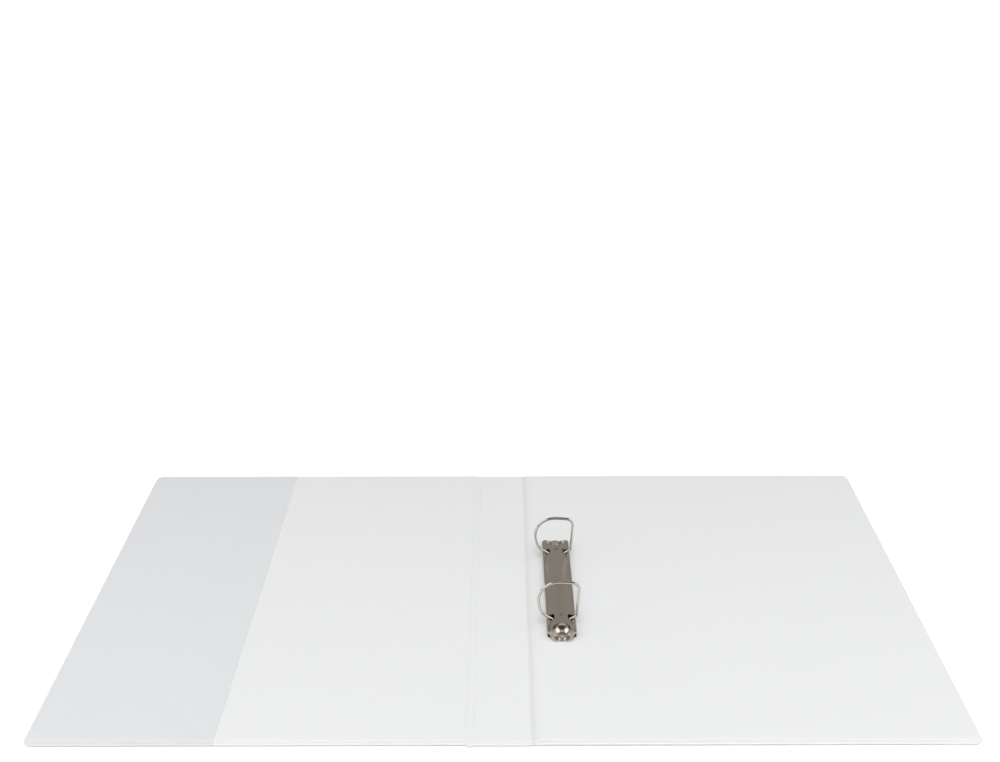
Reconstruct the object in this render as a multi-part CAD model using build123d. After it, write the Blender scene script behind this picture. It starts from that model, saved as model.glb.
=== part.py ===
"""Two-ring A4 presentation binder, lying open with its inside up.

Frame: millimetres, origin on the table under the middle of the spine, +X towards the back cover,
+Y towards the top of the page, +Z up. The spine and the front cover fold up about axes along Y.
"""

import os
from math import cos, sin, radians

from build123d import *

# ---- driving dimensions --------------------------------------------------------------------------

OPEN_WIDTH = 572.0        # outer edge to outer edge, lying open
HEIGHT = 317.0            # along the page
HINGE_PITCH = 39.0        # between the two hinge axes
HINGE_GAP = 2.5           # hinge axis to the edge of each panel
HINGE_Z = 2.2             # height of both hinge axes
CORNER_RADIUS = 5.0       # outer corners of the covers

FILM = 0.15               # clear film
POCKET_GAP = 0.2          # room for a sheet of paper behind the outer film
VINYL = 0.25              # outer skin and inner lining
COVER_BOARD = 2.0
SPINE_BOARD = 1.2
WELD_RIM = 1.5            # flat weld round the free edges
WEB = 0.5                 # thickness of the hinge strip
OVERLAY_TOP_GAP = 5.0     # the outer films stop this far below the top edge
INNER_POCKET_WIDTH = 115.5
INNER_POCKET_GAP = 0.15
EDGE_ROUND = 0.4          # the lining's rounding over the board's edge
BOARD_CLEARANCE = 0.05    # between a board's edges and the vinyl round them

RING_SPACING = 80.0       # standard two-hole punching
MECHANISM_X = 39.7        # middle of the ring mechanism
RINGS_Y = -5.0            # halfway between the rings
HOUSING_Y = -3.2          # the rails sit a little towards the lower end of the arch
WIRE_RADIUS = 1.0
TIP_X = 1.0               # where the two halves of a ring meet, from the mechanism's middle
TOOTH = 0.8               # depth of the V tooth in the tips
TIP_GAP = 0.06

ARCH_LENGTH = 120.6
ARCH_HALF_WIDTH = 10.2
ARCH_HEIGHT = 6.0
SHEET = 0.8               # steel of the arch
CROWN_RADIUS = 26.0
SHOULDER_RADIUS = 2.2
LIP_RADIUS = 0.9
LIP_INNER_X = 8.3
END_CHAMFER_X = 5.1       # off each end corner of the arch, across
END_CHAMFER_Y = 6.0       # and along
END_HEIGHT = 1.1          # the arch slopes down to this height at its ends
END_SLOPE_Y = 6.2         # over this length
BOWL_RADIUS = 6.7         # spherical dish beside each rivet
BOWL_FLOOR = 3.4          # half-width of the flat at its bottom
BOWL_PITCH = 108.0
RIVET_PITCH = 113.6
SLOT_INNER_X = 4.6
SLOT_OUTER_X = 8.6
SLOT_LENGTH = 6.4         # along the arch
SLOT_CORNER = 1.2
DIMPLE_RADIUS = 3.4
DIMPLE_DEPTH = 0.55
DIMPLE_SHIFT = 1.4        # the dimples are this far up from the middle of the slots

PIVOT_X = 8.5             # rail pivots, from the mechanism's middle
PIVOT_Z = 1.7             # above the lining
RAIL_THICKNESS = 1.1
RAIL_REACH = 8.2          # pivot to inner edge
RAIL_LENGTH = 86.0
RAIL_SLOPE = 4.5          # degrees, inner edges down while the rings are shut
STAKE_REACH = 2.6         # pivot to the middle of a ring's foot
STAKE_RADIUS = 0.75

RIVET_HEAD_RADIUS = 4.5
RIVET_HEAD = 0.45
RIVET_SHANK_RADIUS = 2.1
RIVET_BORE_RADIUS = 1.6
RIVET_ROLL_RADIUS = 3.2
RIVET_ROLL_HEIGHT = 1.4

# ---- derived heights and edges -------------------------------------------------------------------

SKIN_Z = FILM + POCKET_GAP
BOARD_Z = SKIN_Z + VINYL
COVER_TOP = BOARD_Z + COVER_BOARD + VINYL
SPINE_TOP = BOARD_Z + SPINE_BOARD + VINYL
HINGE_X = HINGE_PITCH / 2
PANEL_INNER = HINGE_X + HINGE_GAP
PANEL_OUTER = OPEN_WIDTH / 2
SPINE_EDGE = HINGE_X - HINGE_GAP
HALF_HEIGHT = HEIGHT / 2
RING_YS = {"upper": RINGS_Y + RING_SPACING / 2, "lower": RINGS_Y - RING_SPACING / 2}


# ---- general helpers -----------------------------------------------------------------------------

def block(x0, x1, y0, y1, z0, z1):
    """A box between two opposite corners."""
    return Pos((x0 + x1) / 2, (y0 + y1) / 2, (z0 + z1) / 2) * Box(x1 - x0, y1 - y0, z1 - z0)


def plate(x0, x1, y0, y1, z0, z1, corner=0.0):
    """A box whose two corners at x1 are rounded in plan."""
    body = block(x0, x1, y0, y1, z0, z1)
    if corner:
        body = fillet(body.edges().filter_by(Axis.Z).group_by(Axis.X)[-1], corner)
    return body


def disc(radius, x, y, z0, z1):
    return Pos(x, y, (z0 + z1) / 2) * Cylinder(radius, z1 - z0)


def to_front(shape):
    """Turn a back-cover shape over into the front cover's place."""
    return mirror(shape, about=Plane.YZ)


def on_mechanism(shape, y):
    """Move a shape from the mechanism's own frame, which starts on the lining, to its place along Y."""
    return Pos(MECHANISM_X, y, COVER_TOP) * shape


# ---- covers and spine ----------------------------------------------------------------------------

def cover_board():
    inset = WELD_RIM + VINYL + BOARD_CLEARANCE
    body = plate(PANEL_INNER + VINYL + BOARD_CLEARANCE, PANEL_OUTER - inset,
                 -HALF_HEIGHT + inset, HALF_HEIGHT - inset,
                 BOARD_Z, BOARD_Z + COVER_BOARD, CORNER_RADIUS - inset)
    return chamfer(free_top_edges(body), EDGE_ROUND + BOARD_CLEARANCE)


def free_top_edges(body):
    """The upper edges of a cover, without the one along the hinge."""
    return body.faces().sort_by(Axis.Z)[-1].edges().sort_by(Axis.X)[1:]


def cover_skin():
    """Flat vinyl under the board, turned up along the hinge."""
    sheet = plate(PANEL_INNER, PANEL_OUTER, -HALF_HEIGHT, HALF_HEIGHT, SKIN_Z, BOARD_Z, CORNER_RADIUS)
    half = HALF_HEIGHT - WELD_RIM - VINYL - EDGE_ROUND
    return sheet + block(PANEL_INNER, PANEL_INNER + VINYL, -half, half, BOARD_Z, BOARD_Z + COVER_BOARD)


def cover_lining():
    """Vinyl over the board and down its free edges, with a flat rim welded to the outer skin."""
    over = plate(PANEL_INNER, PANEL_OUTER - WELD_RIM, -HALF_HEIGHT + WELD_RIM, HALF_HEIGHT - WELD_RIM,
                 BOARD_Z, COVER_TOP, CORNER_RADIUS - WELD_RIM)
    over = fillet(free_top_edges(over), EDGE_ROUND + VINYL)
    inset = WELD_RIM + VINYL
    inside = plate(PANEL_INNER - 1, PANEL_OUTER - inset, -HALF_HEIGHT + inset, HALF_HEIGHT - inset,
                   BOARD_Z - 1, COVER_TOP - VINYL, CORNER_RADIUS - inset)
    inside = chamfer(free_top_edges(inside), EDGE_ROUND)
    rim = plate(PANEL_INNER, PANEL_OUTER, -HALF_HEIGHT, HALF_HEIGHT, BOARD_Z, BOARD_Z + VINYL, CORNER_RADIUS)
    return over + rim - inside


def cover_overlay():
    """Clear film under the outer skin, welded to it on three sides and open at the top."""
    top = HALF_HEIGHT - OVERLAY_TOP_GAP
    sheet = plate(PANEL_INNER, PANEL_OUTER, -HALF_HEIGHT, top, 0, SKIN_Z, CORNER_RADIUS)
    pocket = block(PANEL_INNER + WELD_RIM, PANEL_OUTER - WELD_RIM, -HALF_HEIGHT + WELD_RIM, top + 1,
                   FILM, SKIN_Z + 1)
    return sheet - pocket


def inner_pocket():
    """Clear film over the outer part of the front cover's lining, open towards the spine."""
    edge = EDGE_ROUND + VINYL + 0.1
    outer = PANEL_OUTER - WELD_RIM - edge
    half = HALF_HEIGHT - WELD_RIM - edge
    inner = PANEL_OUTER - INNER_POCKET_WIDTH
    sheet = plate(inner, outer, -half, half, COVER_TOP, COVER_TOP + INNER_POCKET_GAP + FILM, CORNER_RADIUS)
    room = block(inner - 1, outer - WELD_RIM, -half + WELD_RIM, half - WELD_RIM,
                 COVER_TOP - 1, COVER_TOP + INNER_POCKET_GAP)
    return to_front(sheet - room)


def spine_board():
    half = SPINE_EDGE - VINYL - BOARD_CLEARANCE
    inset = WELD_RIM + VINYL + BOARD_CLEARANCE
    body = block(-half, half, -HALF_HEIGHT + inset, HALF_HEIGHT - inset, BOARD_Z, BOARD_Z + SPINE_BOARD)
    return chamfer(spine_top_ends(body), EDGE_ROUND + BOARD_CLEARANCE)


def spine_top_ends(body):
    """The two upper edges at the spine's ends."""
    return body.faces().sort_by(Axis.Z)[-1].edges().filter_by(Axis.X)


def spine_skin():
    """Flat vinyl under the spine board, turned up along both hinges."""
    body = block(-SPINE_EDGE, SPINE_EDGE, -HALF_HEIGHT, HALF_HEIGHT, SKIN_Z, BOARD_Z)
    half = HALF_HEIGHT - WELD_RIM - VINYL - EDGE_ROUND
    for side in (-1, 1):
        x0, x1 = sorted((side * (SPINE_EDGE - VINYL), side * SPINE_EDGE))
        body += block(x0, x1, -half, half, BOARD_Z, BOARD_Z + SPINE_BOARD)
    return body


def spine_lining():
    """Vinyl over the spine board and down its two ends, with a flat rim at each."""
    over = block(-SPINE_EDGE, SPINE_EDGE, -HALF_HEIGHT + WELD_RIM, HALF_HEIGHT - WELD_RIM, BOARD_Z, SPINE_TOP)
    over = fillet(spine_top_ends(over), EDGE_ROUND + VINYL)
    rim = block(-SPINE_EDGE, SPINE_EDGE, -HALF_HEIGHT, HALF_HEIGHT, BOARD_Z, BOARD_Z + VINYL)
    half = HALF_HEIGHT - WELD_RIM - VINYL
    inside = block(-SPINE_EDGE - 1, SPINE_EDGE + 1, -half, half, BOARD_Z - 1, SPINE_TOP - VINYL)
    inside = chamfer(spine_top_ends(inside), EDGE_ROUND)
    return over + rim - inside


def spine_overlay():
    top = HALF_HEIGHT - OVERLAY_TOP_GAP
    sheet = block(-SPINE_EDGE, SPINE_EDGE, -HALF_HEIGHT, top, 0, SKIN_Z)
    pocket = block(-SPINE_EDGE + WELD_RIM, SPINE_EDGE - WELD_RIM, -HALF_HEIGHT + WELD_RIM, top + 1,
                   FILM, SKIN_Z + 1)
    return sheet - pocket


def hinge_weld():
    """The strip of fused vinyl that bends, from the spine's lining up to the cover's."""
    outline = Polyline(
        (SPINE_EDGE, SPINE_TOP - WEB), (HINGE_X, HINGE_Z - WEB / 2), (PANEL_INNER, COVER_TOP - WEB),
        (PANEL_INNER, COVER_TOP), (HINGE_X, HINGE_Z + WEB / 2), (SPINE_EDGE, SPINE_TOP), close=True)
    half = HALF_HEIGHT - WELD_RIM
    return Pos(0, half, 0) * extrude(Plane.XZ * make_face(outline), 2 * half)


# ---- ring mechanism, in its own frame ------------------------------------------------------------

def arch_section(offset):
    """Half of the arch's outline, set in from the outside by offset, mirrored and closed below."""
    crown, shoulder = CROWN_RADIUS - offset, SHOULDER_RADIUS - offset
    wall = ARCH_HALF_WIDTH - offset
    shoulder_x = ARCH_HALF_WIDTH - SHOULDER_RADIUS
    crown_z = ARCH_HEIGHT - CROWN_RADIUS
    reach = CROWN_RADIUS - SHOULDER_RADIUS
    shoulder_z = crown_z + (reach ** 2 - shoulder_x ** 2) ** 0.5
    unit = Vector(shoulder_x, shoulder_z - crown_z) / reach
    joint = Vector(0, crown_z) + unit * crown
    floor = offset
    top = ThreePointArc((-joint.X, joint.Y), (0, ARCH_HEIGHT - offset), (joint.X, joint.Y))
    lines = [top]
    for side in (-1, 1):
        bend = Vector(shoulder_x, shoulder_z) + (unit + Vector(1, 0)).normalized() * shoulder
        foot = LIP_RADIUS - offset
        foot_x, foot_z = ARCH_HALF_WIDTH - LIP_RADIUS, LIP_RADIUS
        lines += [
            ThreePointArc((side * joint.X, joint.Y), (side * bend.X, bend.Y), (side * wall, shoulder_z)),
            Line((side * wall, shoulder_z), (side * wall, foot_z)),
            ThreePointArc((side * wall, foot_z),
                          (side * (foot_x + foot * cos(radians(45))), foot_z - foot * sin(radians(45))),
                          (side * foot_x, floor)),
        ]
    lines.append(Line((-foot_x, floor), (foot_x, floor)))
    return make_face(Curve() + lines)


def along_y(face, length):
    """Extrude a face drawn in X and Z along Y, centred."""
    return Pos(0, length / 2, 0) * extrude(Plane.XZ * face, length)


def bowl(offset):
    """A dish with its middle at the origin, running out through the end of the arch towards -Y."""
    floor_z = SHEET - offset
    centre_z = SHEET + (BOWL_RADIUS ** 2 - BOWL_FLOOR ** 2) ** 0.5
    ball = Pos(0, 0, centre_z) * Sphere(BOWL_RADIUS + offset)
    run_out = Pos(0, -10, centre_z) * Rot(90, 0, 0) * Cylinder(BOWL_RADIUS + offset, 20)
    above_floor = block(-20, 20, -30, 20, floor_z, centre_z)
    return (ball + run_out) & above_floor


def above_end_slope(drop):
    """What lies above the slope at the arch's end towards -Y, taken drop deeper into the metal."""
    sink = drop * (1 + ((ARCH_HEIGHT - END_HEIGHT) / END_SLOPE_Y) ** 2) ** 0.5
    low_y, low_z = -ARCH_LENGTH / 2 - END_SLOPE_Y, 2 * END_HEIGHT - ARCH_HEIGHT - sink
    high_y, high_z = -ARCH_LENGTH / 2 + 2 * END_SLOPE_Y, 2 * ARCH_HEIGHT - END_HEIGHT - sink
    outline = Polyline((low_y, low_z), (high_y, high_z), (low_y, high_z), close=True)
    return Pos(-20, 0, 0) * extrude(Plane.YZ * make_face(outline), 40)


def ring_housing():
    outer = along_y(arch_section(0), ARCH_LENGTH)
    inner = along_y(arch_section(SHEET), ARCH_LENGTH + 2)
    open_below = block(-LIP_INNER_X, LIP_INNER_X, -ARCH_LENGTH, ARCH_LENGTH, -1, SHEET)
    ends = [(0, 1), (180, -1)]
    for angle, side in ends:
        envelope = Pos(0, -side * BOWL_PITCH / 2, 0) * Rot(0, 0, angle) * bowl(SHEET)
        inner -= envelope + Rot(0, 0, angle) * above_end_slope(SHEET)
        open_below -= envelope
    body = outer - inner - open_below
    for angle, side in ends:
        body -= Pos(0, -side * BOWL_PITCH / 2, 0) * Rot(0, 0, angle) * bowl(0)
        body -= Rot(0, 0, angle) * above_end_slope(0)
        body -= disc(RIVET_SHANK_RADIUS, 0, -side * RIVET_PITCH / 2, -1, SHEET + 1)
    for x_side in (-1, 1):
        for y_side in (-1, 1):
            corner = Polyline(
                (x_side * (ARCH_HALF_WIDTH + 1), y_side * (ARCH_LENGTH / 2 + 1)),
                (x_side * (ARCH_HALF_WIDTH - END_CHAMFER_X), y_side * (ARCH_LENGTH / 2 + 1)),
                (x_side * (ARCH_HALF_WIDTH - END_CHAMFER_X), y_side * ARCH_LENGTH / 2),
                (x_side * ARCH_HALF_WIDTH, y_side * (ARCH_LENGTH / 2 - END_CHAMFER_Y)),
                (x_side * (ARCH_HALF_WIDTH + 1), y_side * (ARCH_LENGTH / 2 - END_CHAMFER_Y)), close=True)
            body -= Pos(0, 0, -1) * extrude(make_face(corner), ARCH_HEIGHT + 2, dir=(0, 0, 1))
            slot_y = y_side * RING_SPACING / 2
            x0, x1 = sorted((x_side * SLOT_INNER_X, x_side * SLOT_OUTER_X))
            slot = block(x0, x1, slot_y - SLOT_LENGTH / 2, slot_y + SLOT_LENGTH / 2, SHEET + 1, ARCH_HEIGHT + 1)
            body -= fillet(slot.edges().filter_by(Axis.Z), SLOT_CORNER)
    for y_side in (-1, 1):
        dimple_y = DIMPLE_SHIFT + y_side * RING_SPACING / 2
        body -= Pos(0, dimple_y, ARCH_HEIGHT - DIMPLE_DEPTH + DIMPLE_RADIUS) * Sphere(DIMPLE_RADIUS)
    return on_mechanism(body, HOUSING_Y)


def housing_rivets():
    """Tubular rivets with flat heads sunk in the board's outer face and rolled ends in the bowls."""
    rivets = []
    head_z = SKIN_Z - COVER_TOP
    for side in (-1, 1):
        y = side * RIVET_PITCH / 2
        roll_z = SHEET + RIVET_ROLL_HEIGHT
        body = disc(RIVET_HEAD_RADIUS, 0, y, head_z, head_z + RIVET_HEAD)
        body += disc(RIVET_SHANK_RADIUS, 0, y, head_z, SHEET)
        roll = disc(RIVET_ROLL_RADIUS, 0, y, SHEET, roll_z)
        body += fillet(roll.faces().sort_by(Axis.Z)[-1].edges(), RIVET_ROLL_HEIGHT * 0.7)
        body -= disc(RIVET_BORE_RADIUS, 0, y, head_z + RIVET_HEAD, roll_z + 1)
        rivets.append(on_mechanism(body, HOUSING_Y))
    return Compound(rivets)


def pivot_point():
    return Vector(-PIVOT_X, PIVOT_Z)


def rail_frame():
    """Directions along the left rail, from its pivot inwards, and square to it, upwards."""
    slope = radians(RAIL_SLOPE)
    return Vector(cos(slope), -sin(slope)), Vector(sin(slope), cos(slope))


def rail():
    """The left rail with shut rings, seen along Y, with a hole for each ring's foot."""
    inward, up = rail_frame()
    pivot = pivot_point()
    half = RAIL_THICKNESS / 2
    low_inner = pivot + inward * RAIL_REACH - up * half
    high_inner = pivot + inward * RAIL_REACH + up * half
    low_outer, high_outer = pivot - up * half, pivot + up * half
    edge = pivot - inward * half
    outline = Curve() + [
        Line(tuple(low_outer)[:2], tuple(low_inner)[:2]), Line(tuple(low_inner)[:2], tuple(high_inner)[:2]),
        Line(tuple(high_inner)[:2], tuple(high_outer)[:2]),
        ThreePointArc(tuple(high_outer)[:2], tuple(edge)[:2], tuple(low_outer)[:2])]
    body = along_y(make_face(outline), RAIL_LENGTH)
    for y_side in (-1, 1):
        body -= stake(STAKE_RADIUS, y_side * RING_SPACING / 2, -1.5, 1.5)
    return body


def stake(radius, y, low, high):
    """A round bar square to the left rail, at a ring's foot, between two heights from its mid-plane."""
    inward, up = rail_frame()
    middle = pivot_point() + inward * STAKE_REACH + up * ((low + high) / 2)
    return Pos(middle.X, y, middle.Y) * Rot(0, RAIL_SLOPE, 0) * Cylinder(radius, high - low)


# A ring leaves its rail square to it, bends outwards and passes over the arch's shoulder at FOOT_ANGLE.

FOOT_ANGLE = 33.0         # rise of the wire where it leaves the arch, degrees
FOOT_POINT = (7.0, 5.44)  # on the wire's centre line there
FOOT_BEND = 1.5
CURVE_WIDEST = (15.6, 20.75)
CURVE_TOP_RADIUS = 14.0
CURVE_LOW_RADIUS = 22.0
CURVE_LOW_TURN = 30.0
KNEE_RADIUS = 5.0
TOP_DROOP_RADIUS = 60.0   # the top of the straight half falls away gently
CORNER_START_X = 7.6
CORNER_BEND = 4.6
POST_LEAN = 2.6           # degrees
POST_KNEE_BEND = 1.8


def meet(point_a, dir_a, point_b, dir_b):
    """Where two lines in a plane cross."""
    cross = dir_a.X * dir_b.Y - dir_a.Y * dir_b.X
    gap = point_b - point_a
    return point_a + dir_a * ((gap.X * dir_b.Y - gap.Y * dir_b.X) / cross)


def foot_start():
    """The wire's shoulder on the left rail and its direction there."""
    inward, up = rail_frame()
    return pivot_point() + inward * STAKE_REACH + up * (RAIL_THICKNESS / 2), up


def heading(degrees):
    return Vector(cos(radians(degrees)), sin(radians(degrees)))


def bent(corner, way_in, way_out, radius):
    """The arc that rounds a corner between two directions: its start, middle and end."""
    half_turn = radians(way_in.get_angle(way_out)) / 2
    reach = radius * sin(half_turn) / cos(half_turn)
    start, end = corner - way_in * reach, corner + way_out * reach
    towards = (way_out - way_in).normalized()
    centre = corner + towards * (radius / cos(half_turn))
    middle = centre - towards * radius
    return start, middle, end


def curved_path():
    """Centre line of the curved half, from its rail over the top to the tip."""
    shoulder, up = foot_start()
    out = heading(180 - FOOT_ANGLE)
    foot_point = Vector(-FOOT_POINT[0], FOOT_POINT[1])
    corner = meet(shoulder, up, foot_point, out)
    bend = bent(corner, up, out, FOOT_BEND)
    widest = Vector(-CURVE_WIDEST[0], CURVE_WIDEST[1])
    low_centre = widest + Vector(CURVE_LOW_RADIUS, 0)
    low_start = low_centre - heading(CURVE_LOW_TURN) * CURVE_LOW_RADIUS
    low_middle = low_centre - heading(CURVE_LOW_TURN / 2) * CURVE_LOW_RADIUS
    low_way = heading(90 + CURVE_LOW_TURN)
    knee_corner = meet(low_start, low_way, foot_point, out)
    knee = bent(knee_corner, out, low_way, KNEE_RADIUS)
    top_centre = widest + Vector(CURVE_TOP_RADIUS, 0)
    top_middle = top_centre + heading(135) * CURVE_TOP_RADIUS
    top_end = top_centre + Vector(0, CURVE_TOP_RADIUS)
    arcs = [bend, knee, (low_start, low_middle, widest), (widest, top_middle, top_end)]
    return shoulder, arcs, top_end


def ring_top():
    """The highest point of the centre line, where the curve ends and the droop begins."""
    return Vector(-CURVE_WIDEST[0] + CURVE_TOP_RADIUS, CURVE_WIDEST[1] + CURVE_TOP_RADIUS)


def droop_at(x):
    """Height of the drooping top at x, and the wire's direction there."""
    top = ring_top()
    run = x - top.X
    fall = (TOP_DROOP_RADIUS ** 2 - run ** 2) ** 0.5
    return Vector(x, top.Y - TOP_DROOP_RADIUS + fall), Vector(fall, -run) / TOP_DROOP_RADIUS


def post_path():
    """Centre line of the straight half, from its rail up the post to the drooping top."""
    shoulder, up = foot_start()
    out = heading(180 - FOOT_ANGLE)
    foot_point = Vector(-FOOT_POINT[0], FOOT_POINT[1])
    corner = meet(shoulder, up, foot_point, out)
    bend = [Vector(-p.X, p.Y) for p in bent(corner, up, out, FOOT_BEND)]
    right_foot, right_out = Vector(*FOOT_POINT), heading(FOOT_ANGLE)
    top_end, top_way = droop_at(CORNER_START_X)
    post_way = heading(90 - POST_LEAN)
    corner_centre = top_end + Vector(top_way.Y, -top_way.X) * CORNER_BEND
    post_top = corner_centre + Vector(post_way.Y, -post_way.X) * CORNER_BEND
    corner_middle = corner_centre + ((post_top - corner_centre) + (top_end - corner_centre)).normalized() * CORNER_BEND
    knee_corner = meet(post_top, post_way, right_foot, right_out)
    knee = bent(knee_corner, right_out, post_way, POST_KNEE_BEND)
    shoulder = Vector(-shoulder.X, shoulder.Y)
    arcs = [bend, knee, (post_top, corner_middle, top_end)]
    return shoulder, arcs, top_end


def wire(start, arcs, tail):
    """Sweep the wire's circle along straight runs joined by tangent arcs, in the plane Y = 0."""
    at = start
    edges = []
    for first, middle, last in arcs:
        if (first - at).length > 1e-6:
            edges.append(Line((at.X, 0, at.Y), (first.X, 0, first.Y)))
        edges.append(ThreePointArc(*[(p.X, 0, p.Y) for p in (first, middle, last)]))
        at = last
    edges += tail
    path = Wire(edges)
    circle = Plane(origin=path @ 0, z_dir=path % 0) * Circle(WIRE_RADIUS)
    return sweep(circle, path=path)


def tooth_cutter(shift):
    """Everything to the right of the V-shaped joint in the tips, moved along X by shift."""
    x, r, far = TIP_X + shift, WIRE_RADIUS + 0.5, 40
    slant = TOOTH * r / WIRE_RADIUS
    outline = Polyline((x + TOOTH, 0), (x + TOOTH - slant, r), (far, r), (far, -r),
                       (x + TOOTH - slant, -r), close=True)
    return Pos(0, 0, 30) * extrude(make_face(outline), 10, dir=(0, 0, 1))


def tip_run(x_from, x_to):
    """The part of the drooping top between two places, as an arc."""
    points = [droop_at(x)[0] for x in (x_from, (x_from + x_to) / 2, x_to)]
    return ThreePointArc(*[(p.X, 0, p.Y) for p in points])


def curved_half():
    shoulder, arcs, top_end = curved_path()
    body = wire(shoulder, arcs, [tip_run(top_end.X, TIP_X + 3)]) - tooth_cutter(-TIP_GAP / 2)
    return body + stake(STAKE_RADIUS, 0, -RAIL_THICKNESS / 2, RAIL_THICKNESS / 2 + 0.1)


def straight_half():
    shoulder, arcs, top_end = post_path()
    body = wire(shoulder, arcs, [tip_run(top_end.X, TIP_X - 3)]) & tooth_cutter(TIP_GAP / 2) + lower_part()
    return body + mirror(stake(STAKE_RADIUS, 0, -RAIL_THICKNESS / 2, RAIL_THICKNESS / 2 + 0.1), about=Plane.YZ)


def lower_part():
    """The space that holds all of a half ring except its tip."""
    return block(0, 40, -5, 5, -5, 30)


# ---- output --------------------------------------------------------------------------------------

def sunk_rivets():
    """The room that the rivets take in the back cover."""
    head_z = SKIN_Z - COVER_TOP
    room = []
    for side in (-1, 1):
        y = side * RIVET_PITCH / 2
        hole = disc(RIVET_HEAD_RADIUS, 0, y, head_z - 1, head_z + RIVET_HEAD)
        hole += disc(RIVET_SHANK_RADIUS, 0, y, head_z, SHEET)
        room.append(on_mechanism(hole, HOUSING_Y))
    return room


def build():
    nodes = {}
    covers = {"board": cover_board(), "outer_skin": cover_skin(), "inner_lining": cover_lining(),
              "clear_overlay": cover_overlay()}
    for name, shape in covers.items():
        nodes["front_" + name] = to_front(shape)
        if name != "clear_overlay":
            for room in sunk_rivets():
                shape = shape - room
        nodes["back_" + name] = shape
    nodes["front_inner_pocket"] = inner_pocket()
    nodes["spine_board"] = spine_board()
    nodes["spine_outer_skin"] = spine_skin()
    nodes["spine_inner_lining"] = spine_lining()
    nodes["spine_clear_overlay"] = spine_overlay()
    nodes["back_hinge_weld"] = hinge_weld()
    nodes["front_hinge_weld"] = to_front(hinge_weld())
    nodes["ring_housing"] = ring_housing()
    nodes["housing_rivets"] = housing_rivets()
    left_rail = rail()
    nodes["left_rail"] = on_mechanism(left_rail, RINGS_Y)
    nodes["right_rail"] = on_mechanism(mirror(left_rail, about=Plane.YZ), RINGS_Y)
    curved, straight = curved_half(), straight_half()
    for place, y in RING_YS.items():
        nodes[place + "_curved_half_ring"] = on_mechanism(curved, y)
        nodes[place + "_straight_half_ring"] = on_mechanism(straight, y)
    return nodes


def main():
    os.makedirs("parts", exist_ok=True)
    for name, shape in build().items():
        export_step(shape, f"parts/{name}.step")


main()
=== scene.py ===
"""Looks of the two-ring presentation binder, lying open: white vinyl over board, clear welded films,
ribbed hinge welds and a nickel-plated ring mechanism, in a plain white studio.

Meshes are worked out in millimetres and written in metres. The back cover is the pattern for the front
one, which is its mirror image.
"""

from math import cos, pi, radians, sin, tau

import bpy
import numpy as np
from mathutils import Matrix, Vector


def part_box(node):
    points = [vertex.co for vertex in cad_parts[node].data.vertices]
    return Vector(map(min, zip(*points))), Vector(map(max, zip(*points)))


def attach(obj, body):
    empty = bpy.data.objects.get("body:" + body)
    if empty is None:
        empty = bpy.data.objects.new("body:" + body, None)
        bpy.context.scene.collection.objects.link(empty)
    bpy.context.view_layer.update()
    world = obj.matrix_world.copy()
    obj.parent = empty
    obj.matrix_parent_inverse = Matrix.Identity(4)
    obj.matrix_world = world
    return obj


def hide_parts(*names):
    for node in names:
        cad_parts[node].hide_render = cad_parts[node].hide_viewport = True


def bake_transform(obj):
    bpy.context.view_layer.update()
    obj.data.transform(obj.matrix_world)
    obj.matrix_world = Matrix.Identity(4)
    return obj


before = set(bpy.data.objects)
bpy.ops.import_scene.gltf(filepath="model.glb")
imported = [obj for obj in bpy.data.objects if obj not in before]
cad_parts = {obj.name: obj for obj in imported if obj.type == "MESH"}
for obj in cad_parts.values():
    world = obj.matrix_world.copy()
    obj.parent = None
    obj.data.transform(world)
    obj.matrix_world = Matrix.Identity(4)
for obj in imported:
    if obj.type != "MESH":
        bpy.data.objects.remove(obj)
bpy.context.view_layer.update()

MM = 0.001


def box_mm(node):
    """Lowest and highest corner of a CAD node, in millimetres."""
    low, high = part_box(node)
    return np.array(low) / MM, np.array(high) / MM


# ---- sizes read from the frame -------------------------------------------------------------------

lining_low, lining_high = box_mm("back_inner_lining")
skin_low = box_mm("back_outer_skin")[0]
overlay_high = box_mm("back_clear_overlay")[1]
spine_high = box_mm("spine_inner_lining")[1]
weld_high = box_mm("back_hinge_weld")[1]
pocket_high = box_mm("front_inner_pocket")[1]

COVER_INNER = lining_low[0]       # hinge side of a cover
COVER_OUTER = lining_high[0]
COVER_TOP = lining_high[2]
SPINE_HALF = spine_high[0]
SPINE_TOP = spine_high[2]
HALF_HEIGHT = lining_high[1]
OVERLAY_TOP = overlay_high[1]     # where the outer films stop
RIM_Z = lining_low[2]             # the skin and the lining meet here
SKIN_Z = skin_low[2]
POCKET_EDGE = pocket_high[0]      # free edge of the inner pocket

# ---- sizes of the visible detail, millimetres ----------------------------------------------------

CORNER = 5.0
RIM = 1.5                         # flat weld round the free edges
EDGE_RADIUS = 0.95                # rounding of the lining over the board
LINING_THICKNESS = 0.25
FILM_THICKNESS = 0.12
GRID = 5.0                        # spacing of the points on flat stretches
CORNER_STEPS = 6
RIB_PITCH = 1.0
RIB_DEPTH = 0.26
RIB_BAND = 3.3                    # width of the ribs, between the weld's two raised borders
BORDER_WIDTH = 0.4
BORDER_HEIGHT = 0.2
BORDER_SLOPE = 0.1
WELD_THICKNESS = 0.45
WELD_END_THICKNESS = 0.55         # share of it that is left at the ends
WELD_STEPS = 13                   # points evenly across
WELD_OVERLAP = 0.05               # how far a weld reaches into the sheets beside it
WELD_DROP = 0.12                  # its top lies this far below the spine's lining
WELD_RISE_SHORT = 0.02            # and this much short of the cover's rise over the spine
WELD_END_HEIGHT = 0.2             # height of its ends over the rim
WELD_PLAIN_END = 0.4              # length without ribs at either end
WELD_PINCH = 0.12                 # share of the width lost at the ends
FRONT_WELD_TAIL = 1.3             # the front hinge's weld runs on past the lower edge
BACK_WELD_TAIL = 0.3
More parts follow.
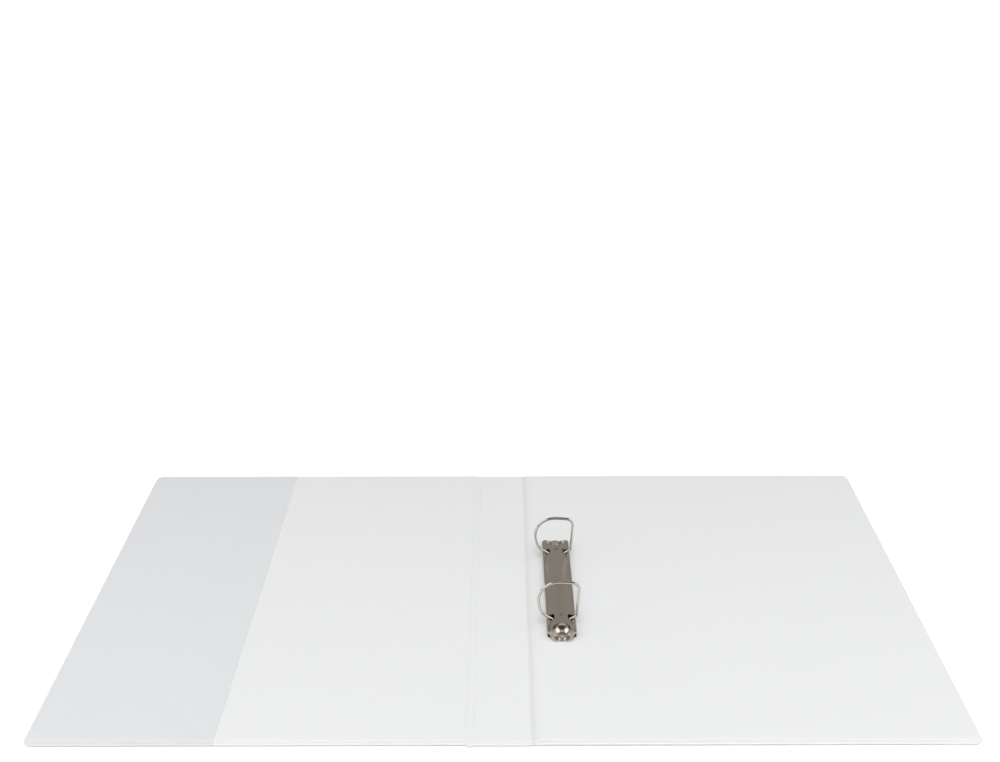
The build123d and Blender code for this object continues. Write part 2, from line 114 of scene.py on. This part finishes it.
HINGE_ROLL = 2.4                  # width over which a lining rolls down into a crease
COVER_ROLL_DEPTH = 0.14
SPINE_ROLL_DEPTH = 0.12
COVER_RELIEF_FADE = 10.0          # a sheet's waves fade out over this width at its border
SPINE_RELIEF_FADE = 8.0
SPINE_OVERHANG = 0.7              # the spine's ends stand out past the covers' edges
SEAM_INSET = 2.7                  # weld lines beside the hinges
SEAM_HEIGHT = 0.17
COVER_SKIN_TUCK = 0.5             # the skin turned up beside a hinge stops this far below the top
SPINE_SKIN_TUCK = 0.55
POCKET_GAP = 0.04                 # air under the pocket's film
POCKET_SKEW = 1.4                 # how far the ends of the pocket's free edge stand off square
POCKET_EASE = 40.0                # width over which the skew and the lifted edge die away
POCKET_EDGE_LIFT = 0.12           # mean height of the free edge
POCKET_EDGE_WAVE = 0.1            # and its rise and fall, once in every pitch
POCKET_EDGE_PITCH = 130.0
IMPRINT_DEPTH = 0.09


# ---- mesh helpers --------------------------------------------------------------------------------

def mesh_object(name, points, faces, mirrored=False):
    """A smooth-shaded mesh object from points in millimetres."""
    points = np.array(points, float) * MM
    if mirrored:
        points[:, 0] *= -1
        faces = [face[::-1] for face in faces]
    mesh = bpy.data.meshes.new(name)
    mesh.from_pydata([tuple(point) for point in points], [], faces)
    mesh.validate()
    mesh.shade_smooth()
    piece = bpy.data.objects.new(name, mesh)
    bpy.context.scene.collection.objects.link(piece)
    return piece


def apply_modifiers(piece):
    """Turn the piece's modifiers into its mesh."""
    graph = bpy.context.evaluated_depsgraph_get()
    mesh = bpy.data.meshes.new_from_object(piece.evaluated_get(graph))
    piece.modifiers.clear()
    piece.data = mesh


def thicken(piece, thickness):
    """Give a surface thickness, away from its visible side."""
    solid = piece.modifiers.new("thickness", "SOLIDIFY")
    solid.thickness = thickness * MM
    solid.offset = -1
    apply_modifiers(piece)
    return piece


def smooth_step(value):
    """A smooth rise from 0 to 1 as value goes from 0 to 1."""
    value = np.clip(value, 0, 1)
    return value * value * (3 - 2 * value)


def spaced(start, end, step=GRID):
    """Evenly spaced values, both ends included."""
    return np.linspace(start, end, max(2, round(abs(end - start) / step) + 1))


def waves(x, y, seed, length, height):
    """Gentle irregular waves, about length from crest to crest."""
    draw = np.random.default_rng(seed)
    total = 0
    for _ in range(6):
        way = draw.uniform(0, tau)
        pace = tau / (length * draw.uniform(0.7, 1.7))
        total = total + np.sin((x * cos(way) + y * sin(way)) * pace + draw.uniform(0, tau))
    return total * height / 3


def cover_surface(columns, profile, relief, top=None, facing_up=True):
    """A sheet with the shape of a cover, which runs from the hinge out to two rounded corners.

    columns: (x, lift) from the hinge side to where the corners begin; profile: (inset, z) from the
    border of the flat middle outwards; top: a straight upper end in place of a rounded one.
    """
    outer, half = COVER_OUTER, HALF_HEIGHT
    flat_inset, flat_z = profile[0]
    core = outer - CORNER
    turns = radians(90) * np.arange(1, CORNER_STEPS + 1) / CORNER_STEPS
    rows = spaced(0, 1, GRID / (2 * half))
    base_low = -(half - CORNER)
    base_high = top if top is not None else half - CORNER

    points, column_at = [], []
    places = [(x, lift, 0.0) for x, lift in columns] + [(core, 0.0, turn) for turn in turns]
    for x, lift, turn in places:
        reach = (CORNER - flat_inset) * cos(turn)
        px = x + (CORNER - flat_inset) * sin(turn)
        low = base_low - reach
        high = base_high + (reach if top is None else 0)
        column_at.append(len(points))
        for share in rows:
            y = low + (high - low) * share
            rise = lift * end_fade(y, half)
            points.append([px, y, flat_z + rise])
    count = len(rows)
    grid = np.array(points)
    margin = np.minimum(outer - flat_inset - grid[:, 0], half - flat_inset - np.abs(grid[:, 1]))
    margin = np.minimum(margin, grid[:, 0] - columns[0][0])
    grid[:, 2] += relief(grid[:, 0], grid[:, 1]) * smooth_step(margin / COVER_RELIEF_FADE)
    points = [list(point) for point in grid]

    faces = []
    for a, b in zip(column_at, column_at[1:]):
        for row in range(count - 1):
            faces.append((a + row, b + row, b + row + 1, a + row + 1))

    chain = [(index, (x, base_low), (sin(turn), -cos(turn)), lift)
             for index, (x, lift, turn) in zip(column_at, places)]
    last = column_at[-1]
    for row in range(1, count):
        y = base_low + (base_high - base_low) * rows[row]
        chain.append((last + row, (core, y), (1.0, 0.0), 0.0))
    if top is None:
        for index, (x, lift, turn) in reversed(list(zip(column_at, places))[:-1]):
            chain.append((index + count - 1, (x, base_high), (sin(turn), cos(turn)), lift))
    before = [index for index, *_ in chain]
    for inset, z in profile[1:]:
        ring = []
        for _, base, normal, lift in chain:
            reach = CORNER - inset
            y = base[1] + normal[1] * reach
            ring.append(len(points))
            points.append([base[0] + normal[0] * reach, y, z + lift * end_fade(y, half)])
        for i in range(len(ring) - 1):
            faces.append((before[i], ring[i], ring[i + 1], before[i + 1]))
        before = ring
    if not facing_up:
        faces = [face[::-1] for face in faces]
    return points, faces


def end_fade(y, half):
    """1 along the middle of a hinge side, falling to 0 where the welded rim begins."""
    return float(smooth_step((half - RIM - abs(y)) / 4))


def spine_surface(columns, half, profile, relief=None, high_end=None, facing_up=True):
    """A sheet with the shape of the spine: columns of (x, lift), with the profile at both ends."""
    inset, flat_z = profile[0]
    low, high = -half + inset, half - inset
    middle = spaced(low, high if high_end is None else high_end)
    chain = [(-half + d, z) for d, z in profile[:0:-1]] + [(y, flat_z) for y in middle]
    if high_end is None:
        chain += [(half - d, z) for d, z in profile[1:]]
    points, faces = [], []
    for x, lift in columns:
        for y, z in chain:
            rise = lift * end_fade(y, half)
            if relief is not None:
                margin = min(half - inset - abs(y), columns[-1][0] - abs(x))
                fade = smooth_step(margin / SPINE_RELIEF_FADE)
                rise += float(relief(x, y)) * float(fade)
            points.append([x, y, z + rise])
    count = len(chain)
    for i in range(len(columns) - 1):
        for j in range(count - 1):
            a = i * count + j
            face = (a, a + count, a + count + 1, a + 1)
            faces.append(face if facing_up else face[::-1])
    return points, faces


# ---- profiles ------------------------------------------------------------------------------------

def rounded_edge(inset, top, radius):
    """A quarter circle from a flat top down to a wall, as (inset, z)."""
    turns = [radians(90) * step / CORNER_STEPS for step in range(CORNER_STEPS + 1)]
    return [(inset + radius - radius * sin(turn), top - radius + radius * cos(turn)) for turn in turns]


def lining_profile(top, lift=0.0):
    """Over the board's edge and down in a soft slope to the narrow welded rim."""
    rim_top = RIM_Z + LINING_THICKNESS + lift
    drop = top + lift - EDGE_RADIUS - rim_top
    return rounded_edge(RIM - lift, top + lift, EDGE_RADIUS) + [
        (RIM - 0.12 - lift, rim_top + drop * 0.6), (RIM - 0.32 - lift, rim_top + drop * 0.28),
        (RIM - 0.6 - lift, rim_top + drop * 0.1), (0.55, rim_top + 0.03), (0.2, rim_top),
        (0.05, rim_top - 0.06), (0.0, rim_top - 0.16)]


SKIN_PROFILE = [(1.2, 0.0), (0.5, 0.0), (0.15, 0.02), (0.02, 0.09), (0.0, 0.16)]
OVERLAY_PROFILE = [(2.6, 0.0), (2.1, 0.02), (1.9, 0.13), (1.65, 0.17), (1.4, 0.13), (1.2, 0.05),
                   (0.6, 0.03), (0.15, 0.06), (0.03, 0.13), (0.0, 0.2)]


def shifted(profile, z):
    return [(inset, height + z) for inset, height in profile]


def hinge_side(x, direction, depth):
    """Columns (x, lift) where a lining rolls down by depth into the crease, from the edge inwards."""
    shares = [0, 0.2, 0.4, 0.6, 0.8, 1.0]
    return [(x + direction * HINGE_ROLL * s ** 1.6, -depth * (1 - sin(s * pi / 2))) for s in shares]


def turned_up(x, direction, height):
    """Columns (x, lift) where the skin turns up beside the hinge, from the edge inwards."""
    steps = [(0.0, 1.0), (0.06, 0.66), (0.14, 0.36), (0.3, 0.15), (0.55, 0.05), (0.9, 0.0)]
    return [(x + direction * across, height * share) for across, share in steps]


def seam_columns(x, direction):
    """Columns (x, lift) across the weld line of a film beside a hinge, from the edge inwards."""
    edge = [(0, 0.8), (0.2, 0.2), (0.6, 0)]
    line = [(-0.8, 0), (-0.45, 0.2), (-0.2, 1), (0.1, 1), (0.35, 0.2), (0.7, 0)]
    steps = edge + [(SEAM_INSET + across, share) for across, share in line]
    return [(x + direction * across, SEAM_HEIGHT * share) for across, share in steps]


def cover_columns(start_columns):
    """Continue columns from the hinge side across a cover, to where its corners begin."""
    start = start_columns[-1][0]
    return start_columns + [(x, 0.0) for x in spaced(start, COVER_OUTER - CORNER)[1:]]


def spine_columns(start_columns):
    """Columns across the spine, the same at both sides."""
    inner = spaced(-start_columns[-1][0], start_columns[-1][0], GRID)[1:-1]
    left = [(-x, lift) for x, lift in start_columns]
    return left + [(x, 0.0) for x in inner] + start_columns[::-1]


# ---- materials -----------------------------------------------------------------------------------

class Shader:
    """A node material, written one node at a time."""

    def __init__(self, name):
        self.material = bpy.data.materials.new(name)
        self.material.use_nodes = True
        self.tree = self.material.node_tree
        self.surface = self.tree.nodes["Principled BSDF"]
        self.place = self.node("ShaderNodeTexCoord").outputs["Object"]

    def node(self, kind, inputs=None, **settings):
        made = self.tree.nodes.new(kind)
        for key, value in settings.items():
            setattr(made, key, value)
        for key, value in (inputs or {}).items():
            if isinstance(value, bpy.types.NodeSocket):
                self.tree.links.new(value, made.inputs[key])
            else:
                made.inputs[key].default_value = value
        return made

    def stretched(self, scale):
        return self.node("ShaderNodeMapping", {"Vector": self.place, "Scale": scale}).outputs["Vector"]

    def noise(self, scale, detail=3.0, rough=0.5, place=None):
        return self.node("ShaderNodeTexNoise", {"Vector": place or self.place, "Scale": scale,
                                                "Detail": detail, "Roughness": rough}).outputs["Fac"]

    def cells(self, scale):
        return self.node("ShaderNodeTexVoronoi", {"Vector": self.place, "Scale": scale},
                         feature="SMOOTH_F1").outputs["Distance"]

    def ramp(self, value, low, high):
        """Map a value from 0..1 to low..high."""
        mapped = self.node("ShaderNodeMapRange", {"Value": value, "To Min": low, "To Max": high})
        return mapped.outputs["Result"]

    def mix_colour(self, share, first, second):
        mixed = self.node("ShaderNodeMix", data_type="RGBA")
        for index, value in ((0, share), (6, first), (7, second)):
            if isinstance(value, bpy.types.NodeSocket):
                self.tree.links.new(value, mixed.inputs[index])
            else:
                mixed.inputs[index].default_value = value
        return mixed.outputs[2]

    def add(self, first, second, share):
        """first + second * share"""
        inputs = {0: second, 1: share, 2: first}
        return self.node("ShaderNodeMath", inputs, operation="MULTIPLY_ADD").outputs[0]

    def bump(self, height, strength, distance):
        inputs = {"Height": height, "Strength": strength, "Distance": distance * MM}
        bumped = self.node("ShaderNodeBump", inputs)
        self.tree.links.new(bumped.outputs["Normal"], self.surface.inputs["Normal"])

    def set(self, **values):
        """Set inputs of the surface, with underscores for spaces."""
        for key, value in values.items():
            socket = self.surface.inputs[key.replace("_", " ")]
            if isinstance(value, bpy.types.NodeSocket):
                self.tree.links.new(value, socket)
            else:
                socket.default_value = value


def darker(colour, share):
    return [channel * share for channel in colour[:3]] + [1]


def grained_vinyl(name="grained_vinyl", crease=None):
    """The lining: calendered vinyl with a fine pebble grain. A crease (x, x) gets painted shade: darker
    up to its end.
    """
    shader = Shader(name)
    pebbles = shader.cells(1500)
    fine = shader.noise(2600, 2)
    colour = shader.mix_colour(shader.noise(9, 3), (0.775, 0.79, 0.805, 1), (0.79, 0.803, 0.815, 1))
    # painted shade: the colour is darkened across the crease span, standing in for the shade in the
    # crease
    if crease:
        across = shader.node("ShaderNodeSeparateXYZ", {0: shader.place}).outputs["X"]
        reach = {"Value": across, "From Min": crease[0] * MM, "From Max": crease[1] * MM}
        share = shader.node("ShaderNodeMapRange", reach, interpolation_type="SMOOTHSTEP")
        colour = shader.mix_colour(share.outputs["Result"], (0.72, 0.732, 0.745, 1), colour)
    shader.set(Base_Color=colour, Roughness=shader.ramp(shader.noise(40, 3), 0.5, 0.6),
               Specular_IOR_Level=0.4)
    shader.bump(shader.add(pebbles, fine, 0.6), 0.25, 0.03)
    return shader.material


def smooth_vinyl():
    """The outer skin: glossier, with faint press marks."""
    shader = Shader("smooth_vinyl")
    colour = shader.mix_colour(shader.noise(14, 3), (0.735, 0.755, 0.775, 1), (0.76, 0.775, 0.785, 1))
    shader.set(Base_Color=colour, Roughness=shader.ramp(shader.noise(90, 3), 0.32, 0.44),
               Specular_IOR_Level=0.45)
    shader.bump(shader.add(shader.noise(400, 3), shader.noise(60, 2), 2.0), 0.2, 0.03)
    return shader.material


def fused_vinyl():
    """The outside of the hinge welds, where film and skin have melted into one: bluish and smooth."""
    shader = Shader("fused_vinyl")
    colour = shader.mix_colour(shader.noise(30, 3), (0.5, 0.525, 0.57, 1), (0.56, 0.58, 0.62, 1))
    shader.set(Base_Color=colour, Roughness=shader.ramp(shader.noise(90, 3), 0.22, 0.34),
               Specular_IOR_Level=0.5)
    return shader.material


def clear_film(name, colour, alpha, ripple):
    """Clear vinyl, faintly blue, with long shallow ripples."""
    shader = Shader(name)
    long_ripples = shader.noise(22, 3, place=shader.stretched((1.0, 0.35, 1.0)))
    tint = shader.mix_colour(shader.noise(12, 2), colour, darker(colour, 0.97))
    shader.set(Base_Color=tint, Roughness=shader.ramp(shader.noise(35, 4), 0.1, 0.24),
               Alpha=alpha, IOR=1.53)
    shader.bump(shader.add(long_ripples, shader.noise(300, 3), 0.03), 0.35, ripple)
    return shader.material


def nickel(name, colour, low, high, grain, bump=0.12):
    """Bright nickel plate over steel that keeps a little of the drawn or rolled grain."""
    shader = Shader(name)
    streaks = shader.noise(260, 4, 0.6, shader.stretched(grain))
    shader.set(Metallic=1.0, Roughness=shader.ramp(shader.noise(700, 4, 0.6), low, high),
               Base_Color=shader.mix_colour(shader.noise(55, 3), colour, darker(colour, 0.93)))
    shader.bump(shader.add(streaks, shader.noise(900, 3), 0.5), bump, 0.02)
    return shader.material


def greyboard():
    """Grey recycled board with fibres and flecks."""
    shader = Shader("greyboard")
    fibres = shader.noise(500, 5, 0.7, shader.stretched((1.0, 0.3, 1.0)))
    colour = shader.mix_colour(fibres, (0.2, 0.19, 0.17, 1), (0.42, 0.4, 0.37, 1))
    shader.set(Base_Color=colour, Roughness=0.92)
    shader.bump(fibres, 0.4, 0.1)
    return shader.material


LINING = grained_vinyl()
# painted shade in the back hinge's crease, drawn as darker vinyl
CREASE_PAINTED_SHADE = grained_vinyl("vinyl_painted_crease_shade", (SPINE_HALF + 1.8, COVER_INNER - 0.6))
SKIN = smooth_vinyl()
FUSED = fused_vinyl()
OUTER_FILM = clear_film("outer_film", (0.72, 0.75, 0.8, 1), 0.3, 0.5)
INNER_FILM = clear_film("inner_film", (0.74, 0.76, 0.8, 1), 0.1, 0.25)
ARCH_NICKEL = nickel("arch_nickel", (0.64, 0.6, 0.545, 1), 0.2, 0.27, (1.0, 0.1, 1.0))
WIRE_NICKEL = nickel("wire_nickel", (0.7, 0.67, 0.62, 1), 0.08, 0.13, (1.0, 1.0, 1.0), 0.03)
RIVET_NICKEL = nickel("rivet_nickel", (0.72, 0.68, 0.62, 1), 0.16, 0.24, (1.0, 1.0, 1.0))
BOARD = greyboard()


def finish_piece(piece, material, body, node):
    """Give a new piece its material and body, in place of the CAD node."""
    piece.data.materials.clear()
    piece.data.materials.append(material)
    if body:
        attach(piece, body)
    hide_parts(node)
    return piece


# ---- covers --------------------------------------------------------------------------------------

def imprint(x, y, place, size):
    """A shallow dent pressed in by a ring."""
    return -IMPRINT_DEPTH * np.exp(-((x - place[0]) / size[0]) ** 2 - ((y - place[1]) / size[1]) ** 2)


def front_relief(x, y):
    """Waves in the front lining, with the marks the rings leave in it when the binder is shut."""
    marks = imprint(x, y, (41, 38), (7, 1.6)) + imprint(x, y, (47, -41), (11, 1.6))
    return waves(x, y, 8, 70, 0.06) + marks


def back_relief(x, y):
    return waves(x, y, 3, 70, 0.06)


def cover_lining(side, body):
    columns = cover_columns(hinge_side(COVER_INNER, 1, COVER_ROLL_DEPTH))
    relief = back_relief if side == "back" else front_relief

    points, faces = cover_surface(columns, lining_profile(COVER_TOP), relief)
    piece = mesh_object(side + "_lining_sheet", points, faces, side == "front")
    thicken(piece, LINING_THICKNESS)
    finish_piece(piece, LINING, body, side + "_inner_lining")


def cover_skin(side, body):
    columns = turned_up(COVER_INNER, 1, weld_high[2] - COVER_SKIN_TUCK - SKIN_Z)
    seed = 12 if side == "back" else 15

    def relief(x, y):
        return waves(x, y, seed, 90, 0.05)

    points, faces = cover_surface(cover_columns(columns), shifted(SKIN_PROFILE, SKIN_Z), relief,
                                  facing_up=False)
    piece = mesh_object(side + "_skin_sheet", points, faces, side == "front")
    thicken(piece, RIM_Z - SKIN_Z)
    finish_piece(piece, SKIN, body, side + "_outer_skin")


def cover_overlay(side, body):
    columns = cover_columns(seam_columns(COVER_INNER, 1))
    seed = 21 if side == "back" else 27

    def relief(x, y):
        return np.abs(0.08 + waves(x, y, seed, 55, 0.06))

    points, faces = cover_surface(columns, OVERLAY_PROFILE, relief, OVERLAY_TOP, facing_up=False)
    piece = mesh_object(side + "_overlay_film", points, faces, side == "front")
    thicken(piece, FILM_THICKNESS)
    finish_piece(piece, OUTER_FILM, body, side + "_clear_overlay")


def inner_pocket():
    """Clear film over the outer part of the front cover, drawn over its edges into the rim's weld."""
    edge = -POCKET_EDGE
    lift = FILM_THICKNESS + POCKET_GAP
    columns = [(x, 0.0) for x in [edge, edge + 0.3, edge + 1.5, *spaced(edge + 5, COVER_OUTER - CORNER)]]

    def relief(x, y):
        return front_relief(x, y) + 0.1 + np.abs(waves(x, y, 33, 60, 0.04))

    points, faces = cover_surface(columns, lining_profile(COVER_TOP, lift), relief)
    points = np.array(points)
    near_edge = 1 - smooth_step((points[:, 0] - edge) / POCKET_EASE)
    points[:, 0] -= near_edge * points[:, 1] / HALF_HEIGHT * POCKET_SKEW
    flat = points[:, 2] > COVER_TOP
    wave = POCKET_EDGE_WAVE * np.sin(points[:, 1] * tau / POCKET_EDGE_PITCH)
    points[:, 2] += flat * near_edge ** 4 * (POCKET_EDGE_LIFT + wave)
    piece = mesh_object("inner_pocket_film", points, faces, True)
    thicken(piece, FILM_THICKNESS)
    finish_piece(piece, INNER_FILM, "front_cover", "front_inner_pocket")


# ---- spine ---------------------------------------------------------------------------------------

def spine_lining():
    columns = spine_columns(hinge_side(SPINE_HALF, -1, SPINE_ROLL_DEPTH))

    def relief(x, y):
        return waves(x, y, 41, 80, 0.05)

    half = HALF_HEIGHT + SPINE_OVERHANG
    points, faces = spine_surface(columns, half, lining_profile(SPINE_TOP), relief)
    piece = thicken(mesh_object("spine_lining_sheet", points, faces), LINING_THICKNESS)
    finish_piece(piece, LINING, "spine", "spine_inner_lining")


def spine_skin():
    columns = turned_up(SPINE_HALF, -1, SPINE_TOP - SPINE_SKIN_TUCK - SKIN_Z)
    points, faces = spine_surface(spine_columns(columns), HALF_HEIGHT + SPINE_OVERHANG,
                                  shifted(SKIN_PROFILE, SKIN_Z), facing_up=False)
    piece = thicken(mesh_object("spine_skin_sheet", points, faces), RIM_Z - SKIN_Z)
    finish_piece(piece, SKIN, "spine", "spine_outer_skin")


def spine_overlay():
    columns = spine_columns(seam_columns(SPINE_HALF, -1))

    def relief(x, y):
        return np.abs(0.05 + waves(x, y, 52, 60, 0.04))

    points, faces = spine_surface(columns, HALF_HEIGHT, OVERLAY_PROFILE, relief, OVERLAY_TOP,
                                  facing_up=False)
    piece = thicken(mesh_object("spine_overlay_film", points, faces), FILM_THICKNESS)
    finish_piece(piece, OUTER_FILM, "spine", "spine_clear_overlay")


# ---- hinge welds ---------------------------------------------------------------------------------

def weld_rows(side, low_x, high_x):
    """Rows of points round a hinge weld, one row after another: over its top, back along its ribs."""
    middle, width = (low_x + high_x) / 2, high_x - low_x
    inside = RIB_BAND / 2
    outside = inside + BORDER_WIDTH
    borders = np.array([inside, inside + BORDER_SLOPE, outside - BORDER_SLOPE, outside])
    evenly = (np.linspace(0, 1, WELD_STEPS) - 0.5) * width
    centred = np.sort(np.concatenate([evenly, borders, -borders]))
    rise = (COVER_TOP - SPINE_TOP - WELD_RISE_SHORT) * smooth_step(centred / width + 0.5)
    top = SPINE_TOP - WELD_DROP + rise
    rim = RIM_Z + WELD_END_HEIGHT
    band = 1 - smooth_step((np.abs(centred) - inside) / BORDER_SLOPE)
    border = smooth_step((outside - np.abs(centred)) / BORDER_SLOPE) - band

    lower_end = -HALF_HEIGHT - (FRONT_WELD_TAIL if side == "front" else BACK_WELD_TAIL)
    ribbed = spaced(lower_end + WELD_PLAIN_END, HALF_HEIGHT - WELD_PLAIN_END, RIB_PITCH / 5)
    rows = []
    for y in [lower_end, *ribbed, HALF_HEIGHT]:
        fade = float(smooth_step((HALF_HEIGHT - 0.35 - abs(y)) / 1.6))
        rib = RIB_DEPTH * (0.5 + 0.5 * cos(y / RIB_PITCH * tau)) * fade
        upper = rim + (top - rim) * fade
        thickness = WELD_THICKNESS * (WELD_END_THICKNESS + (1 - WELD_END_THICKNESS) * fade)
        lower = upper - thickness - (rib * band + BORDER_HEIGHT * fade * border)
        pinch = 1 - WELD_PINCH * smooth_step((abs(y) - HALF_HEIGHT + 1) / 1.5)
        xs = middle + centred * pinch
        over = [[x, y, z] for x, z in zip(xs, upper)]
        under = [[x, y, z] for x, z in zip(xs[::-1], lower[::-1])]
        rows.append(over + under)
    return rows


def hinge_weld(side):
    """The fused strip between the spine and a cover: smooth inside, ribbed like a zip outside."""
    rows = weld_rows(side, SPINE_HALF - WELD_OVERLAP, COVER_INNER + WELD_OVERLAP)
    ring = len(rows[0])
    last = (len(rows) - 1) * ring
    faces = []
    for a in range(0, last, ring):
        for i in range(ring):
            j = (i + 1) % ring
            faces.append((a + i, a + j, a + ring + j, a + ring + i))
    faces += [tuple(range(ring))[::-1], tuple(range(last, last + ring))]
    piece = mesh_object(side + "_weld_strip", sum(rows, []), faces, side == "front")
    # the back weld's top gets the vinyl with painted crease shade
    vinyl = CREASE_PAINTED_SHADE if side == "back" else LINING
    finish_piece(piece, vinyl, None, side + "_hinge_weld")
    piece.data.materials.append(FUSED)
    for place, face in enumerate(piece.data.polygons):
        on_lower_side = ring // 2 <= place % ring < ring - 1
        face.material_index = int(on_lower_side)
    return piece


def hinge_welds():
    for side, direction in (("back", 1), ("front", -1)):
        strip = hinge_weld(side)
        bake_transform(strip)


# ---- CAD pieces that keep their shape ------------------------------------------------------------

def dress(material, *names):
    for name in names:
        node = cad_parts[name]
        for slot in node.material_slots:
            slot.material = material


def cad_finishes():
    dress(BOARD, "back_board", "front_board", "spine_board")
    dress(ARCH_NICKEL, "ring_housing", "left_rail", "right_rail")
    dress(RIVET_NICKEL, "housing_rivets")
    dress(WIRE_NICKEL, *[level + "_" + shape + "_half_ring" for level in ("upper", "lower")
                         for shape in ("curved", "straight")])


# ---- studio --------------------------------------------------------------------------------------

CAMERA_PLACE = (-0.00073, -0.71288, 0.50324)
CAMERA_TURN = -0.0455             # degrees, clockwise from +Y
CAMERA_PITCH = 25.411             # degrees below the horizon
CAMERA_ROLL = -0.154
LENS = 43.46


def camera():
    data = bpy.data.cameras.new("camera")
    data.lens = LENS
    data.sensor_width = 36
    data.clip_end = 50
    turn, pitch, roll = (radians(a) for a in (CAMERA_TURN, CAMERA_PITCH, CAMERA_ROLL))
    ahead = Vector((sin(turn) * cos(pitch), cos(turn) * cos(pitch), -sin(pitch)))
    right = Vector((cos(turn), -sin(turn), 0))
    up = right.cross(ahead)
    right, up = cos(roll) * right + sin(roll) * up, cos(roll) * up - sin(roll) * right
    view = bpy.data.objects.new("camera", data)
    axes = Matrix((right, up, -ahead)).transposed().to_4x4()
    view.matrix_world = Matrix.Translation(CAMERA_PLACE) @ axes
    bpy.context.scene.collection.objects.link(view)
    bpy.context.scene.camera = view


def softbox(name, place, size, power):
    """A rectangular light that faces the origin."""
    data = bpy.data.lights.new(name, "AREA")
    data.shape = "RECTANGLE"
    data.size, data.size_y = size
    data.energy = power
    light = bpy.data.objects.new(name, data)
    light.location = place
    light.rotation_euler = (-Vector(place)).to_track_quat("-Z", "Y").to_euler()
    bpy.context.scene.collection.objects.link(light)
    return light


def floor():
    """White paper that glows more with distance, so that it burns out to pure white."""
    bpy.ops.mesh.primitive_plane_add(size=30, location=(0, 0, -0.0002))
    sheet = bpy.context.object
    sheet.name = "floor"
    paper = Shader("paper_sweep")
    reach = paper.node("ShaderNodeVectorMath", {0: paper.place}, operation="LENGTH").outputs["Value"]
    glow = paper.node("ShaderNodeMapRange", {"Value": reach, "From Min": 0.28, "From Max": 1.0,
                                             "To Min": 0.12, "To Max": 1.3}).outputs["Result"]
    paper.set(Base_Color=(0.93, 0.93, 0.93, 1), Roughness=0.9, Specular_IOR_Level=0.1,
              Emission_Color=(1, 1, 1, 1), Emission_Strength=glow)
    sheet.data.materials.append(paper.material)


def lights():
    """Two softboxes and a card that show in the metal, and two soft fills that don't."""
    softbox("left_softbox", (-1.15, -0.28, 0.9), (1.3, 1.3), 8.2)
    softbox("right_softbox", (1.15, -0.28, 0.9), (1.3, 1.3), 8.6)
    softbox("overhead_card", (0, -0.8, 2.3), (1.2, 0.9), 2.2)
    high_fill = softbox("high_fill", (0, -0.8, 2.3), (1.2, 0.9), 21.3)
    front_fill = softbox("front_fill", (0, -2.0, 2.0), (1.8, 1.2), 22.4)
    for fill in (high_fill, front_fill):
        fill.visible_glossy = False


def surroundings():
    """A room that is brightest at its horizon and dark towards its front, -Y. It never turns."""
    world = bpy.data.worlds.new("studio")
    world.use_nodes = True
    tree = world.node_tree
    background = tree.nodes["Background"]
    direction = tree.nodes.new("ShaderNodeTexCoord").outputs["Generated"]
    parts = tree.nodes.new("ShaderNodeSeparateXYZ")
    tree.links.new(direction, parts.inputs[0])

    tones = tree.nodes.new("ShaderNodeValToRGB")
    low, high = tones.color_ramp.elements
    low.position, low.color = 0.0, (0.1, 0.09, 0.08, 1)
    high.position, high.color = 1.0, (0.12, 0.115, 0.11, 1)
    tones.color_ramp.elements.new(0.5).color = (0.395, 0.37, 0.34, 1)
    tree.links.new(parts.outputs["Z"], tones.inputs[0])
    tree.links.new(tones.outputs[0], background.inputs["Color"])

    dark_side = tree.nodes.new("ShaderNodeMapRange")
    for key, value in (("From Min", -0.75), ("From Max", -0.1), ("To Min", 0.12), ("To Max", 1.0)):
        dark_side.inputs[key].default_value = value
    tree.links.new(parts.outputs["Y"], dark_side.inputs["Value"])
    tree.links.new(dark_side.outputs["Result"], background.inputs["Strength"])
    bpy.context.scene.world = world
    bpy.context.scene.view_settings.view_transform = "Standard"


for side, body in (("back", "back_cover"), ("front", "front_cover")):
    cover_lining(side, body)
    cover_skin(side, body)
    cover_overlay(side, body)
inner_pocket()
spine_lining()
spine_skin()
spine_overlay()
hinge_welds()
cad_finishes()
camera()
floor()
lights()
surroundings()
